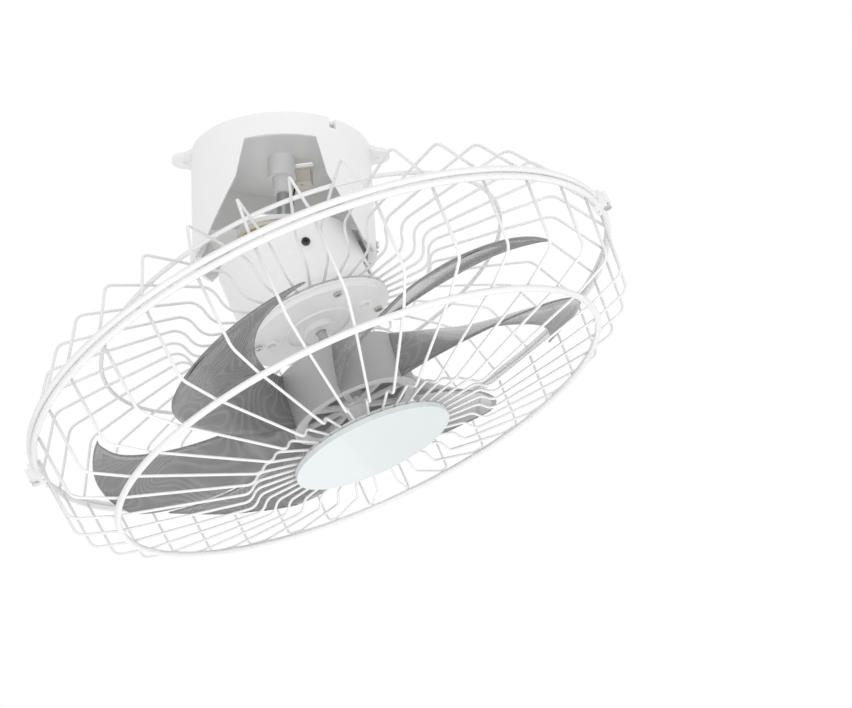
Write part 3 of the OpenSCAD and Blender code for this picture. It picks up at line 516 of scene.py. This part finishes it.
# the leads' routes, in mm as in the part's source; the head lead runs from its start along a quarter of an oval
leads = {"thick": 1.8, "sides": 12,
         "contactLeads": [[(0, 30.5, -82), (0, 30.5, -75), (0, 30.3, -67), (0, 28.1, -62), (0, 23.7, -54),
                           (0, 20.4, -46.5), (0, 18.7, -40), (0, 18.9, -33), (0, 20.6, -26), (0, 25, -15.5)],
                          [(0, 36.5, -82), (0, 36.5, -75), (0.1, 36.2, -67), (0.4, 33.7, -62),
                           (1.3, 28.4, -54), (2.1, 24.3, -46.5), (3, 21.5, -40), (3.9, 21, -33),
                           (4.7, 22, -26), (6, 25, -15.5)]],
         "headLead": {"start": (10.53, -44, -100.5), "reach": (10.97, 6, -8), "step": 15}}


def throughPoints(points, steps=4):  # a smooth path through the points
    ends = [Vector(p) for p in points]
    ends = [ends[0] * 2 - ends[1]] + ends + [ends[-1] * 2 - ends[-2]]
    made = [spline(*four, i / steps) for four in zip(ends, ends[1:], ends[2:], ends[3:]) for i in range(steps)]
    return made + [ends[-2]]


def quarterOval(start, reach, step):
    turns = [math.radians(d) for d in range(0, 91, step)]
    return [(start[0] + reach[0] * (1 - math.cos(t)), start[1] + reach[1] * (1 - math.cos(t)),
             start[2] + reach[2] * math.sin(t)) for t in turns]


def makeLeads(name, routes, body, cadNode):
    shape = Shape()
    for route in routes:
        shape.sweep([p * mm for p in throughPoints(route)], leads["thick"] / 2 * mm, leads["sides"])
    meshPiece(name, shape, "lead_sleeve", body, cadNode)


makeLeads("contactLeads", leads["contactLeads"], "mount", "contact_leads")
makeLeads("headLeads", [quarterOval(**leads["headLead"])], "head", "head_leads")
print("leads made")

for part in record["subparts"]:
    materials = nodes[part["node"]].data.materials
    materials.clear()
    materials.append(finishes[part["material_slot"]])

# edge rounding of the carried-over nodes, in mm
softened = {"ceiling_bracket": 0.5, "bridge": 0.4, "front_shield": 0.6, "propeller_hub": 0.6,
            "hub_spider": 0.4, "rim_clips": 0.5, "badge": 0.6, "hub_nut": 0.4, "spindle_lock_nut": 0.3}
sharpFrom = 40  # degrees between two faces
for name, width in softened.items():
    bevel = nodes[name].modifiers.new("edges", "BEVEL")
    bevel.width = width * mm
    bevel.segments = 2
    bevel.limit_method = "ANGLE"
    bevel.angle_limit = math.radians(sharpFrom)
    bevel.harden_normals = False
print("nodes dressed")

shot = {"place": (0.2528, -1.0636, -0.5715), "right": (0.98599, 0.15257, -0.06734),
        "up": (0.11341, -0.31741, 0.94148), "lens": 59.155, "sensor": 36}
camera = bpy.data.objects.new("camera", bpy.data.cameras.new("camera"))
bpy.context.scene.collection.objects.link(camera)
right, up = Vector(shot["right"]), Vector(shot["up"])
turned = Matrix((right, up, right.cross(up))).transposed().to_4x4()
camera.matrix_world = Matrix.Translation(shot["place"]) @ turned
camera.data.lens = shot["lens"]
camera.data.sensor_width = shot["sensor"]
bpy.context.scene.camera = camera

# soft square lamps that all look at the rims' centre: place and width in metres, power in watts
lamps = {"keySoft": {"place": (-1.3, -1.7, -1.0), "width": 1.6, "power": 2.5},
         "fillSoft": {"place": (1.9, -1.1, -0.3), "width": 1.6, "power": 1},
         "frontSoft": {"place": (0.3, -1.3, -0.8), "width": 0.9, "power": 4},
         "topSoft": {"place": (0.3, 0.6, 1.8), "width": 1.8, "power": 5},
         "backSoft": {"place": (-0.6, 1.9, -0.6), "width": 1.5, "power": 4},
         "lowSoft": {"place": (0.7, -0.5, -1.35), "width": 1.4, "power": 7.5}}
for name, look in lamps.items():
    lamp = bpy.data.lights.new(name, "AREA")
    lamp.size, lamp.energy = look["width"], look["power"]
    holder = bpy.data.objects.new(name, lamp)
    bpy.context.scene.collection.objects.link(holder)
    holder.location = look["place"]
    holder.rotation_euler = (rimCentre - Vector(look["place"])).to_track_quat("-Z", "Y").to_euler()
print("camera and lamps placed")

studio = {"white": (1, 1, 1, 1), "seen": 1, "lit": 0.82}  # strengths of the backdrop and of its light
world = bpy.data.worlds.new("studio")
bpy.context.scene.world = world
world.use_nodes = True
sky = Net(world.node_tree)
sky.tree.nodes.clear()
cameraRay, glossyRay, clearRay = [sky.node("ShaderNodeLightPath", out=name) for name in
                                  ("Is Camera Ray", "Is Glossy Ray", "Is Transmission Ray")]
seen, lit = [sky.node("ShaderNodeBackground", {}, {"Color": studio["white"], "Strength": studio[name]})
             for name in ("seen", "lit")]
backdrop = sky.node("ShaderNodeMixShader", {}, {
    0: cameraRay.maths("MAXIMUM", glossyRay).maths("MAXIMUM", clearRay), 1: lit, 2: seen})
sky.node("ShaderNodeOutputWorld", {}, {"Surface": backdrop})

floorLook = {"size": 200, "height": -1.5, "dark": (0.92, 0.92, 0.92), "light": (0.95, 0.95, 0.95),
             "drift": 3, "rough": 0.7}
bpy.ops.mesh.primitive_plane_add(size=floorLook["size"], location=(0, 0, floorLook["height"]))
floor = bpy.context.object
floor.name = "floor"
f = Finish("paleFloor")
f.set(Base_Color=f.mix(f.noise(floorLook["drift"]), floorLook["dark"], floorLook["light"]),
      Roughness=floorLook["rough"])
floor.data.materials.append(f.material)
bpy.context.scene.view_settings.view_transform = "Standard"
print("stage made")
